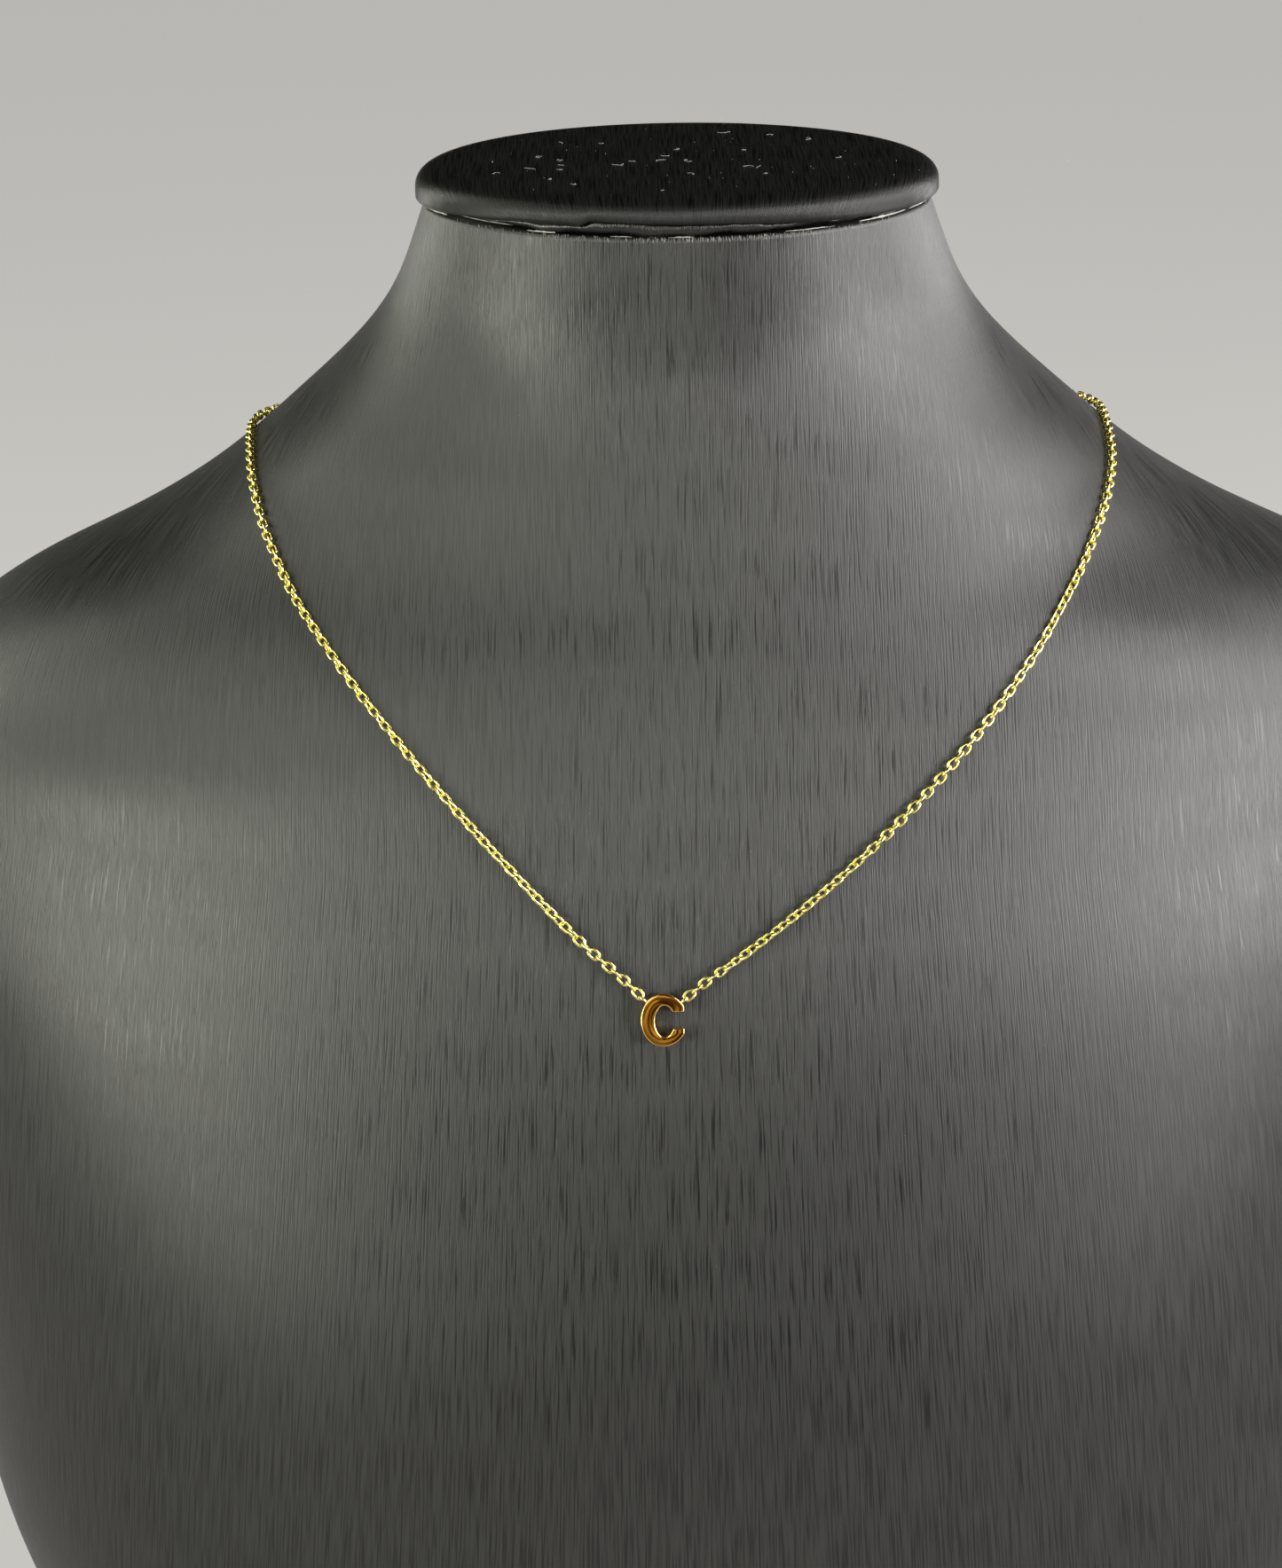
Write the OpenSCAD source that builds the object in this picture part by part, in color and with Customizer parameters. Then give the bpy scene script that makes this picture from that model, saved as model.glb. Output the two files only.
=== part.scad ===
// Initial pendant: a small block letter C on a fine cable chain, on a plain neck bust
// X is across, the front faces -Y, Z is up, and the origin is under the middle of the box

/* [Bust] */
// Height of the covered body, from the base board to the neck cap
body_h = 238.4; // [200:0.2:280]
// Width across the shoulders
shoulder_w = 272; // [240:1:310]
// Reach of the chest in front of the shoulder ridge
chest_reach = 108; // [95:1:125]
// Reach of the back behind the shoulder ridge
back_reach = 42; // [36:1:50]
// Width of the neck under its cap
neck_w = 81; // [74:1:88]
// Depth of the neck under its cap, front to back
neck_d = 64; // [58:1:70]
// How far the top of the neck stands forward of the shoulder ridge
neck_lean = 9; // [0:0.5:12]
// Radius of the rounding at the body's lower edge
hem_r = 3.5; // [2:0.5:6]

/* [Base board and neck cap] */
// Thickness of the board under the body
board_t = 3; // [2:0.5:8]
// How far the board stands back from the flat of the body's underside
board_inset = 2; // [1:0.5:6]
// Thickness of the padded neck cap
cap_t = 5.6; // [4:0.2:10]
// How far the cap reaches past the neck all round
cap_overhang = 1.5; // [0.4:0.1:3]
// Width of the soft rounding round the cap's top
cap_round_w = 9; // [5:0.5:14]
// Radius of the rounding at the cap's lower edge
cap_under_r = 1.6; // [0.8:0.1:2]

/* [Letter] */
// Height of the letter
letter_h = 8.1; // [7:0.1:10]
// Width of the letter
letter_w = 6.7; // [5.9:0.1:8.5]
// Thickness of the letter, back to face
letter_t = 1.8; // [1.2:0.1:2.4]
// Width of the letter's upright stroke
stem_w = 2.2; // [1.4:0.1:2.4]
// Width of the stroke over the top
top_stroke = 1.8; // [1.3:0.05:2]
// Width of the stroke under the bottom
bottom_stroke = 1.5; // [1.3:0.05:2]
// Width of the oval that the counter is cut as
counter_w = 2.92; // [2.4:0.02:3.4]
// Opening between the two ends of the strokes
mouth = 2.55; // [1.8:0.05:3.2]
// Width of the soft rounding round the letter's face
face_round = 0.42; // [0.2:0.02:0.5]
// Width of the broken edge round the letter's back
back_break = 0.12; // [0.06:0.02:0.2]
// Direction round the body where the letter hangs, 0 at the middle of the chest
letter_turn = -3; // [-6:0.5:6]
// Height of the letter's middle, from the underside of the board
letter_z = 130; // [120:1:140]

/* [Chain and clasp] */
// Width of one link, which is the width of the chain
link_w = 1.7; // [1.2:0.1:2.2]
// Wire of the letter's two loops
loop_wire = 0.45; // [0.35:0.05:0.6]
// Outer diameter of the letter's two loops
loop_od = 1.8; // [1.6:0.1:2.4]
// How deep each loop is let into the letter's edge
loop_sink = 0.45; // [0.3:0.05:0.6]
// Diameter of the clasp's barrel
clasp_d = 2.4; // [2:0.1:4]
// Length of the clasp's barrel
clasp_l = 8; // [6:0.5:12]
// Chamfer at each end of the barrel
clasp_bevel = 0.5; // [0.2:0.1:0.8]
// Outer diameter of the eye at each end of the clasp
eye_od = 2; // [1.6:0.1:2.4]
// Wire of the clasp's eyes
eye_wire = 0.5; // [0.35:0.05:0.6]
// How deep each eye is let into the barrel
eye_sink = 0.3; // [0.2:0.05:0.5]
// Direction round the body where the clasp lies, 180 at the middle of the nape
clasp_turn = 170; // [150:1:190]

/* [Fit] */
// Clearance between what hangs on the bust and the covering under it
rest_gap = 0.3; // [0.2:0.05:0.6]
// Clearance between an end of the chain and the loop or eye that holds it
link_gap = 0.2; // [0.1:0.05:0.4]

/* [Hidden] */

// How finely curves are drawn
body_sides = 64;
lower_row_h = 9;
upper_row_h = 3.4;
hem_steps = 3;
cap_under_steps = 3;
cap_over_steps = 6;
outer_steps = 24;
shoulder_steps = 8;
face_steps = 3;
ring_sides = 48;
wire_sides = 24;
tube_rings = 40;
tube_sides = 8;

// The shoulder ridge stands behind the middle of the box
ridge_y = (chest_reach - back_reach) / 2;
body_top = board_t + body_h;

// Level sections of the body, each as shares of the named sizes
//   height  width  front  back   lean   how square: front, back
sections = [
    [0,     0.76,  0.94,  0.15,  0,     2.5,  2.5],
    [0.03,  0.8,   0.98,  0.4,   0,     2.5,  2.5],
    [0.09,  0.85,  1,     0.55,  0,     2.5,  2.5],
    [0.24,  0.925, 0.93,  0.75,  0,     2.4,  2.4],
    [0.41,  0.985, 0.8,   0.95,  0,     2.3,  2.4],
    [0.55,  1,     0.68,  1,     0,     2.2,  2.4],
    [0.62,  0.975, 0.6,   0.9,   0,     2.1,  2.4],
    [0.68,  0.895, 0.52,  0.7,   0,     2.1,  2.4],
    [0.73,  0.74,  0.43,  0.5,   0,     2.1,  2.3],
    [0.775, 0.515, 0.33,  0.25,  0,     2.1,  2.2],
    [0.81,  0.375, 0.265, 0.1,   0,     2.2,  2.1],
    [0.855, 0.24,  0.195, 0,     0,     2.3,  2.1],
    [0.885, 0.16,  0.14,  0,     0.2,   2.2,  2.1],
    [0.915, 0.095, 0.08,  0,     0.5,   2.1,  2],
    [0.945, 0.05,  0.035, 0,     0.8,   2,    2],
    [1,     0,     0,     0,     1,     2,    2]
];
WIDTH = 1;
FRONT = 2;
BACK = 3;
LEAN = 4;
SQUARE_FRONT = 5;
SQUARE_BACK = 6;

// Share of the height where the shoulders start to turn in, with closer rows above it
flare_share = 0.6;

// Course of each strand over the body: the direction round it in degrees, and the share of its height
left_course = [
    [-11, 0.5765], [-17.5, 0.6105], [-24, 0.6445], [-30.5, 0.6775], [-37.5, 0.71], [-45.5, 0.742],
    [-53.5, 0.768], [-62, 0.794], [-70.5, 0.815], [-79.5, 0.828], [-89.5, 0.831], [-101, 0.828],
    [-113, 0.8225], [-125, 0.8185], [-139, 0.8165], [-154, 0.8155], [-167, 0.815]
];
right_course = [
    [6, 0.572], [13, 0.6], [20, 0.6295], [27, 0.661], [34, 0.693], [41.5, 0.7255], [48.5, 0.752],
    [56, 0.7755], [63.5, 0.7975], [71.5, 0.8155], [80, 0.828], [89, 0.833], [100, 0.8305],
    [112, 0.825], [125, 0.8205], [139, 0.8175], [151, 0.816]
];
clasp_share = 0.815;

// Slope of one column at row i: the harmonic mean of its neighbours, so that no curve overshoots
function rise(c, i) = (sections[i + 1][c] - sections[i][c]) / (sections[i + 1][0] - sections[i][0]);
function slope(c, i) =
    i == 0 ? rise(c, 0)
    : i == len(sections) - 1 ? rise(c, i - 1)
    : rise(c, i - 1) * rise(c, i) <= 0 ? 0
    : 2 * rise(c, i - 1) * rise(c, i) / (rise(c, i - 1) + rise(c, i));
function row_below(share) = max([for (i = [0 : len(sections) - 2]) if (i == 0 || share >= sections[i][0]) i]);
function column(c, share) =
    let (
        i = row_below(share),
        span = sections[i + 1][0] - sections[i][0],
        t = (share - sections[i][0]) / span
    )
    sections[i][c] * (2 * t ^ 3 - 3 * t ^ 2 + 1) + sections[i + 1][c] * (3 * t ^ 2 - 2 * t ^ 3)
    + span * (slope(c, i) * (t ^ 3 - 2 * t ^ 2 + t) + slope(c, i + 1) * (t ^ 3 - t ^ 2));

// Half width, and reach in front of and behind the section's own middle, at a share of the height
function half_width(share) = neck_w / 2 + column(WIDTH, share) * (shoulder_w - neck_w) / 2;
function reach(share, front) =
    neck_d / 2 + (front ? column(FRONT, share) * (chest_reach - neck_d / 2)
                        : column(BACK, share) * (back_reach - neck_d / 2));
function middle_y(share) = ridge_y - neck_lean * column(LEAN, share);

// Point of the body's skin in a direction round it and at a share of its height, moved out by grow
function skin(turn, share, grow = 0) =
    let (
        front = cos(turn) > 0,
        square = column(front ? SQUARE_FRONT : SQUARE_BACK, share),
        across = pow(abs(sin(turn)) / (half_width(share) + grow), square),
        along = pow(abs(cos(turn)) / (reach(share, front) + grow), square),
        r = pow(across + along, -1 / square)
    )
    [r * sin(turn), middle_y(share) - r * cos(turn), board_t + share * body_h];

// Directions of one ring of points, closer together where the section is narrow
function ring_turn(i, share) =
    let (a = 360 * i / body_sides)
    atan2(half_width(share) * sin(a), reach(share, cos(a) > 0) * cos(a));
function section_ring(share, grow = 0) = [for (i = [0 : body_sides - 1]) skin(ring_turn(i, share), share, grow)];

function unit(v) = v / norm(v);
// Outward direction of the skin, and the way round it, from neighbours a small step away
turn_step = 1;
share_step = 0.004;
function round_skin(turn, share) = unit(skin(turn + turn_step, share) - skin(turn - turn_step, share));
function outward(turn, share) =
    unit(cross(round_skin(turn, share), skin(turn, share + share_step) - skin(turn, share - share_step)));
// Point at a height over the skin
function over_skin(turn, share, height) = skin(turn, share) + height * outward(turn, share);
// Direction and share of height of a point, as seen from the middle of its section
function share_of(p) = (p[2] - board_t) / body_h;
function turn_of(p) = atan2(p[0], middle_y(share_of(p)) - p[1]);

// Closed solid through rings of points that all have the same count, listed from the bottom up
// Where a ring goes out along one curve and back along another, folded caps it with a strip between the two
module skinned(rings, folded = false) {
    n = len(rings[0]);
    last = len(rings) - 1;
    points = [for (ring = rings) for (p = ring) p];
    walls = [
        for (k = [0 : last - 1]) for (i = [0 : n - 1])
        let (j = (i + 1) % n)
        each [[k * n + i, k * n + n + i, k * n + j], [k * n + j, k * n + n + i, k * n + n + j]]
    ];
    strip = [for (i = [0 : n / 2 - 2]) each [[i, i + 1, n - 1 - i], [i + 1, n - 2 - i, n - 1 - i]]];
    bottom = folded ? strip : [[for (i = [0 : n - 1]) i]];
    top = [for (face = bottom) [for (i = [len(face) - 1 : -1 : 0]) last * n + face[i]]];
    polyhedron(points, concat(walls, bottom, top), convexity = 10);
}

// Children drawn flat, set down at a point with their own right, up and facing directions
module placed(at, right, up, out) {
    multmatrix([
        [right[0], up[0], out[0], at[0]],
        [right[1], up[1], out[1], at[1]],
        [right[2], up[2], out[2], at[2]],
        [0, 0, 0, 1]
    ]) children();
}

module ring(od, wire) {
    rotate_extrude($fn = ring_sides) translate([(od - wire) / 2, 0]) circle(d = wire, $fn = wire_sides);
}

module bust_body() {
    lower_rows = round(flare_share * body_h / lower_row_h);
    upper_rows = round((1 - flare_share) * body_h / upper_row_h);
    hem = [for (i = [0 : hem_steps]) let (a = 90 * i / hem_steps)
        section_ring(hem_r * (1 - cos(a)) / body_h, -hem_r * (1 - sin(a)))];
    lower = [for (i = [1 : lower_rows]) section_ring(flare_share * i / lower_rows)];
    upper = [for (i = [1 : upper_rows]) section_ring(flare_share + (1 - flare_share) * i / upper_rows)];
    color([0.09, 0.09, 0.09]) skinned(concat(hem, lower, upper));
}

module base_board() {
    outline = [for (p = section_ring(0, -hem_r - board_inset)) [p[0], p[1]]];
    color([0.13, 0.12, 0.12]) linear_extrude(board_t) polygon(outline);
}

// Soft board over the neck: a rounded lower edge, a short upright side and a broad rounding to a flat top
module neck_cap() {
    upright = (cap_t - cap_under_r) / 4;
    // Height over the body and reach past the cap's side, from the underside to the top
    under = [for (i = [0 : cap_under_steps]) let (a = 90 * i / cap_under_steps)
        [cap_under_r * (1 - cos(a)), -cap_under_r * (1 - sin(a))]];
    over = [for (i = [0 : cap_over_steps]) let (a = 90 * i / cap_over_steps)
        [cap_under_r + upright + (cap_t - cap_under_r - upright) * sin(a), -cap_round_w * (1 - cos(a))]];
    centre = [0, middle_y(1), 0];
    rings = [for (p = concat(under, over)) [for (q = section_ring(1))
        let (
            spoke = [q[0], q[1], 0] - centre,
            r = norm(spoke)
        )
        centre + spoke * (r + cap_overhang + p[1]) / r + [0, 0, body_top + p[0]]]];
    color([0.07, 0.07, 0.07]) skinned(rings);
}

// Outline of the letter: two half ovals outside, the right one cut off at the ends of the strokes
end_share = 1.16;
outer_l = letter_w / 2;
outer_r = end_share * letter_w / 2;
counter_h = letter_h - top_stroke - bottom_stroke;
counter_middle = [stem_w + counter_w / 2 - letter_w / 2, (bottom_stroke - top_stroke) / 2];
function oval(a, b, t) = [a * cos(t), b * sin(t)];
// Drawn in by inset all round: the upper end, the outer curve, the lower end, then the counter back again
// in as many points
counter_steps = outer_steps + 2 * shoulder_steps + 2;
function letter_outline(inset) =
    let (
        edge = letter_w / 2 - inset,
        half = letter_h / 2 - inset,
        right = outer_r - inset,
        left = outer_l - inset,
        cw = counter_w / 2 + inset,
        ch = counter_h / 2 + inset,
        lip = mouth / 2 + inset,
        cut = acos(edge / right),
        lip_up = asin((lip - counter_middle[1]) / ch),
        lip_down = asin((-lip - counter_middle[1]) / ch)
    )
    concat(
        [[edge, lip]],
        [for (i = [0 : shoulder_steps]) oval(right, half, cut + (90 - cut) * i / shoulder_steps)],
        [for (i = [1 : outer_steps]) oval(left, half, 90 + 180 * i / outer_steps)],
        [for (i = [1 : shoulder_steps]) oval(right, half, 270 + (90 - cut) * i / shoulder_steps)],
        [[edge, -lip]],
        [for (i = [0 : counter_steps])
            counter_middle + oval(cw, ch, lip_down - (360 + lip_down - lip_up) * i / counter_steps)]
    );

// Where the letter hangs: its back's middle over the skin, and its right, up and facing directions
letter_share = (letter_z - board_t) / body_h;
letter_out = outward(letter_turn, letter_share);
letter_right = unit(cross([0, 0, 1], letter_out));
letter_up = cross(letter_out, letter_right);
letter_back = over_skin(letter_turn, letter_share, rest_gap);

// Each loop stands on edge on the letter's shoulder and leans out along its strand
loops = [
    // place on the outline in degrees, half width of the outline there, and the way that it leans
    [140, outer_l, 146],
    [42, outer_r, 38]
];
loop_height = loop_od / 2;
function loop_foot(k) = oval(loops[k][1], letter_h / 2, loops[k][0]);
function loop_place(k) = loop_foot(k) + oval(1, 1, loops[k][2]) * (loop_od / 2 - loop_sink);
function loop_centre(k) =
    let (p = loop_place(k))
    letter_back + p[0] * letter_right + p[1] * letter_up + loop_height * letter_out;

module letter_c() {
    face_drop = 0.7 * face_round;
    // Height over the back and inset, from the back's edge round to the face
    back_edge = [[0, back_break], [back_break, 0]];
    face_edge = [for (i = [0 : face_steps]) let (a = 90 * i / face_steps)
        [letter_t - face_drop * (1 - sin(a)), face_round * (1 - cos(a))]];
    color([0.78, 0.55, 0.16])
    placed(letter_back, letter_right, letter_up, letter_out)
    union() {
        skinned([for (p = concat(back_edge, face_edge)) [for (q = letter_outline(p[1])) [q[0], q[1], p[0]]]],
            folded = true);
        for (k = [0, 1])
            translate([loop_place(k)[0], loop_place(k)[1], loop_height])
            rotate([0, 0, loops[k][2]])
            rotate([90, 0, 0])
            ring(loop_od, loop_wire);
    }
}

// Where the clasp lies: its middle over the skin, with its barrel along the nape
clasp_out = outward(clasp_turn, clasp_share);
clasp_along = round_skin(clasp_turn, clasp_share);
clasp_middle = over_skin(clasp_turn, clasp_share, clasp_d / 2 + rest_gap);
eye_at = clasp_l / 2 + eye_od / 2 - eye_sink;
function eye_centre(side) = clasp_middle + side * eye_at * clasp_along;

// One closed barrel with an eye at each end
module clasp() {
    half = clasp_l / 2;
    waist = clasp_d / 2 - clasp_bevel;
    color([0.83, 0.68, 0.3])
    placed(clasp_middle, clasp_along, cross(clasp_out, clasp_along), clasp_out)
    union() {
        rotate([0, 90, 0]) rotate_extrude($fn = ring_sides) polygon([
            [0, -half], [waist, -half], [clasp_d / 2, clasp_bevel - half],
            [clasp_d / 2, half - clasp_bevel], [waist, half], [0, half]
        ]);
        for (side = [-1, 1]) translate([side * eye_at, 0, 0]) rotate([90, 0, 0]) ring(eye_od, eye_wire);
    }
}

// Smooth curve through a list of points, at s from 0 at the first to 1 at the last
function blend(p, i, t) =
    let (
        a = p[max(i - 1, 0)],
        b = p[i],
        c = p[min(i + 1, len(p) - 1)],
        d = p[min(i + 2, len(p) - 1)]
    )
    0.5 * (2 * b + (c - a) * t + (2 * a - 5 * b + 4 * c - d) * t ^ 2 + (3 * b - a - 3 * c + d) * t ^ 3);
function along(p, s) =
    let (i = min(floor(s * (len(p) - 1)), len(p) - 2))
    blend(p, i, s * (len(p) - 1) - i);
// Direction and share of a point, counted on round the body from a course's near end
function stop_at(p, near) = [turn_of(p) + 360 * round((near[0] - turn_of(p)) / 360), share_of(p)];

// One strand as a tube that stands for its links, from just clear of a loop to just clear of an eye
module strand(course, loop, eye) {
    stops = concat([stop_at(loop, course[0])], course, [stop_at(eye, course[len(course) - 1])]);
    height = link_w / 2 + rest_gap;
    inner = [for (i = [1 : tube_rings - 2])
        let (q = along(stops, i / (tube_rings - 1)))
        over_skin(q[0], q[1], height)];
    first = loop + (loop_od / 2 + link_gap) * unit(inner[0] - loop);
    final = eye + (eye_od / 2 + link_gap) * unit(inner[len(inner) - 1] - eye);
    line = concat([first], inner, [final]);
    last = len(line) - 1;
    rings = [
        for (i = [0 : last])
        let (
            ahead = unit(line[min(i + 1, last)] - line[max(i - 1, 0)]),
            out = outward(turn_of(line[i]), share_of(line[i])),
            side = unit(cross(ahead, out)),
            up = cross(side, ahead)
        )
        [for (k = [0 : tube_sides - 1])
            let (a = 360 * (k + 0.5) / tube_sides)
            line[i] + link_w / 2 * (cos(a) * side - sin(a) * up)]
    ];
    color([0.87, 0.8, 0.42]) skinned(rings);
}

module chain_left() {
    strand(left_course, loop_centre(0), eye_centre(1));
}

module chain_right() {
    strand(right_course, loop_centre(1), eye_centre(-1));
}

bust_body();
base_board();
neck_cap();
letter_c();
chain_left();
chain_right();
clasp();
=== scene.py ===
import math
import random

import bmesh
import bpy
from mathutils import Matrix, Vector
from mathutils.bvhtree import BVHTree


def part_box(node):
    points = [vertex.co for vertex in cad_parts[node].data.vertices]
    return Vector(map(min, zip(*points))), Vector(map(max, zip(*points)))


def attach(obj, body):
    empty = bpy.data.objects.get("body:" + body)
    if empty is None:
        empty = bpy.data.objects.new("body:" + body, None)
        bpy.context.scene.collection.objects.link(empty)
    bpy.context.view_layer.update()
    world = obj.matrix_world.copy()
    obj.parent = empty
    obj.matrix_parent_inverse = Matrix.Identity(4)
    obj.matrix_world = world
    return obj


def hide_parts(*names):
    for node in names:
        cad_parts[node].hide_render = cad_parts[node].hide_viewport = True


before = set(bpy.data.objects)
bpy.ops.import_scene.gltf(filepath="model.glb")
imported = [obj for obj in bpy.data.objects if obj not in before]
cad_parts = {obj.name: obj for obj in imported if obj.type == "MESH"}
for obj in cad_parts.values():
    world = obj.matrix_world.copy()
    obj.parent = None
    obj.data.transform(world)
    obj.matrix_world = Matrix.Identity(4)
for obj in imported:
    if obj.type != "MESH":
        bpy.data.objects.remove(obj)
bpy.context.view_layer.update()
mm = 0.001
samePlace = 0.001 * mm  # corners closer than this are one
sameLevel = 0.01 * mm   # corners closer than this in height lie on one level
outside = 0.5           # metres out from the middle, beyond every piece, where a ray starts


# Small helpers

def linear(hexColour):  # sRGB hex to the linear colour that a node takes
    parts = [int(hexColour[i:i + 2], 16) / 255 for i in (1, 3, 5)]
    return [p / 12.92 if p <= 0.04045 else ((p + 0.055) / 1.055) ** 2.4 for p in parts] + [1]


def addNode(tree, kind, settings=None, inputs=None, links=None):
    # Inputs go by name or number: a Mix node's colours are its inputs 6 and 7, and its output 2
    node = tree.nodes.new(kind)
    for name, value in (settings or {}).items():
        setattr(node, name, value)
    for name, value in (inputs or {}).items():
        node.inputs[name].default_value = value
    for name, source in (links or {}).items():
        tree.links.new(source, node.inputs[name])
    return node


def newMaterial(name):
    material = bpy.data.materials.new(name)
    material.use_nodes = True
    material.node_tree.nodes.clear()
    return material, material.node_tree


def newPiece(name, bm, material, slot, *stoodFor):
    mesh = bpy.data.meshes.new(name)
    bm.to_mesh(mesh)
    bm.free()
    mesh.materials.append(material)
    for face in mesh.polygons:
        face.use_smooth = True
    piece = bpy.data.objects.new(name, mesh)
    bpy.context.collection.objects.link(piece)
    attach(piece, "root")
    if stoodFor:
        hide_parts(*stoodFor)
    return piece


def mergedCopy(node):  # the CAD node's loose triangles as one joined mesh of mostly four-sided faces
    bm = bmesh.new()
    bm.from_mesh(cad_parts[node].data)
    bmesh.ops.remove_doubles(bm, verts=bm.verts, dist=samePlace)
    bmesh.ops.join_triangles(bm, faces=bm.faces, angle_face_threshold=math.radians(40),
                             angle_shape_threshold=math.radians(60))
    return bm


def addCopy(bm, mesh, matrix):
    copy = mesh.copy()
    copy.transform(matrix)
    bm.from_mesh(copy)
    bpy.data.meshes.remove(copy)


def axes(right, up, out, at):  # matrix that sets a piece drawn flat down at a point
    turned = Matrix((right, up, out)).transposed().to_4x4()
    return Matrix.Translation(at) @ turned


def interpolate(table, x):  # straight lines between (place, value) rows
    if x <= table[0][0]:
        return table[0][1]
    for (a, va), (b, vb) in zip(table, table[1:]):
        if x <= b:
            return va + (vb - va) * (x - a) / (b - a)
    return table[-1][1]


# Materials

leatherValues = {
    "dark": "#050505",       # painted shade in the pressed lines
    "light": "#212121",      # on the brushed ground between them
    "rough": 0.4,            # the ground is satin
    "smoother": 0.11,        # and the lines in it are pressed this much smoother
    "brushed": 0.8,          # the sheen spreads across the lines, not along them
    # the real lines are about as fine as a picture element, so they are drawn as coarse as they need to show
    "lineWidth": 0.23 * mm,  # half of the way from one line to the next
    "lineLength": 11 * mm,
    "scratchWidth": 0.36 * mm,  # the sparser deep lines
    "scratchLength": 17 * mm,
    "depth": 0.3,            # what a deep line leaves of the ground's height
    "gloss": 0.5,
    "bumpDepth": 0.03 * mm,
}
# the cap's cut of the same sheet is painted blacker, as painted shade that keeps its top dark, and is
# duller; the fold is painted darker, as painted shade under the cap's lip, and its edge is pressed glossy
# where it is tucked
capPaintedShadeValues = {**leatherValues, "dark": "#020202", "light": "#121212", "rough": 0.48,
                    "smoother": 0.1, "gloss": 0.3}
foldPaintedShadeValues = {**leatherValues, "light": "#141414", "rough": 0.28, "smoother": 0.1}


def brushedLeatherette(name, values):
    # Polyurethane leatherette, embossed and brushed one way: fine broken lines with a satin sheen, and
    # painted shade in the lines
    material, tree = newMaterial(name)
    uv = addNode(tree, "ShaderNodeUVMap", {"uv_map": "wrap"})
    fine = addNode(tree, "ShaderNodeVectorMath", {"operation": "MULTIPLY"},
                   {1: (1 / values["lineWidth"], 1 / values["lineLength"], 1)}, {0: uv.outputs[0]})
    lines = addNode(tree, "ShaderNodeTexNoise", {"noise_dimensions": "2D"},
                    {"Scale": 1, "Detail": 3, "Roughness": 0.55, "Distortion": 0},
                    {"Vector": fine.outputs[0]})
    coarse = addNode(tree, "ShaderNodeVectorMath", {"operation": "MULTIPLY"},
                     {1: (1 / values["scratchWidth"], 1 / values["scratchLength"], 1)}, {0: uv.outputs[0]})
    scratches = addNode(tree, "ShaderNodeTexNoise", {"noise_dimensions": "2D"},
                        {"Scale": 1, "Detail": 1, "Roughness": 0.5}, {"Vector": coarse.outputs[0]})
    sparse = addNode(tree, "ShaderNodeMapRange", {"interpolation_type": "SMOOTHSTEP"},
                     {"From Min": 0.2, "From Max": 0.36, "To Min": values["depth"]},
                     {"Value": scratches.outputs[0]})
    crown = addNode(tree, "ShaderNodeMapRange", {"interpolation_type": "SMOOTHSTEP"},
                    {"From Min": 0.3, "From Max": 0.62}, {"Value": lines.outputs[0]})
    reliefAndShade = addNode(tree, "ShaderNodeMath", {"operation": "MULTIPLY"}, {},
                     {0: crown.outputs[0], 1: sparse.outputs[0]})
    # painted shade: the colour darkens in the pressed lines, where the relief is low
    colour = addNode(tree, "ShaderNodeMix", {"data_type": "RGBA"},
                     {6: linear(values["dark"]), 7: linear(values["light"])}, {0: reliefAndShade.outputs[0]})
    roughness = addNode(tree, "ShaderNodeMapRange", {},
                        {"To Min": values["rough"] - values["smoother"], "To Max": values["rough"]},
                        {"Value": reliefAndShade.outputs[0]})
    bump = addNode(tree, "ShaderNodeBump", {}, {"Strength": 0.8, "Distance": values["bumpDepth"]},
                   {"Height": reliefAndShade.outputs[0]})
    across = addNode(tree, "ShaderNodeTangent", {"direction_type": "UV_MAP", "uv_map": "wrap"})
    shader = addNode(tree, "ShaderNodeBsdfPrincipled", {},
                     {"IOR": 1.5, "Anisotropic": values["brushed"], "Specular IOR Level": values["gloss"]},
                     {"Base Color": colour.outputs[2], "Roughness": roughness.outputs[0],
                      "Normal": bump.outputs[0], "Tangent": across.outputs[0]})
    addNode(tree, "ShaderNodeOutputMaterial", {}, {}, {"Surface": shader.outputs[0]})
    return material


letterGoldValues = {
    "bright": "#E4A236",
    # deep is a painted reflection: the dark surroundings that the polished face mirrors
    "deep": "#6E4012",
    "rimHighlight": "#EBD197",        # painted highlight: the edges and sides are painted pale
    "waveLength": 6 * mm,    # lapping waves, and the painted reflection streaks with them, follow the stroke
    "waveWidth": 0.45 * mm,
    "bumpDepth": 0.02 * mm,
    "roughness": 0.2,
}


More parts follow.
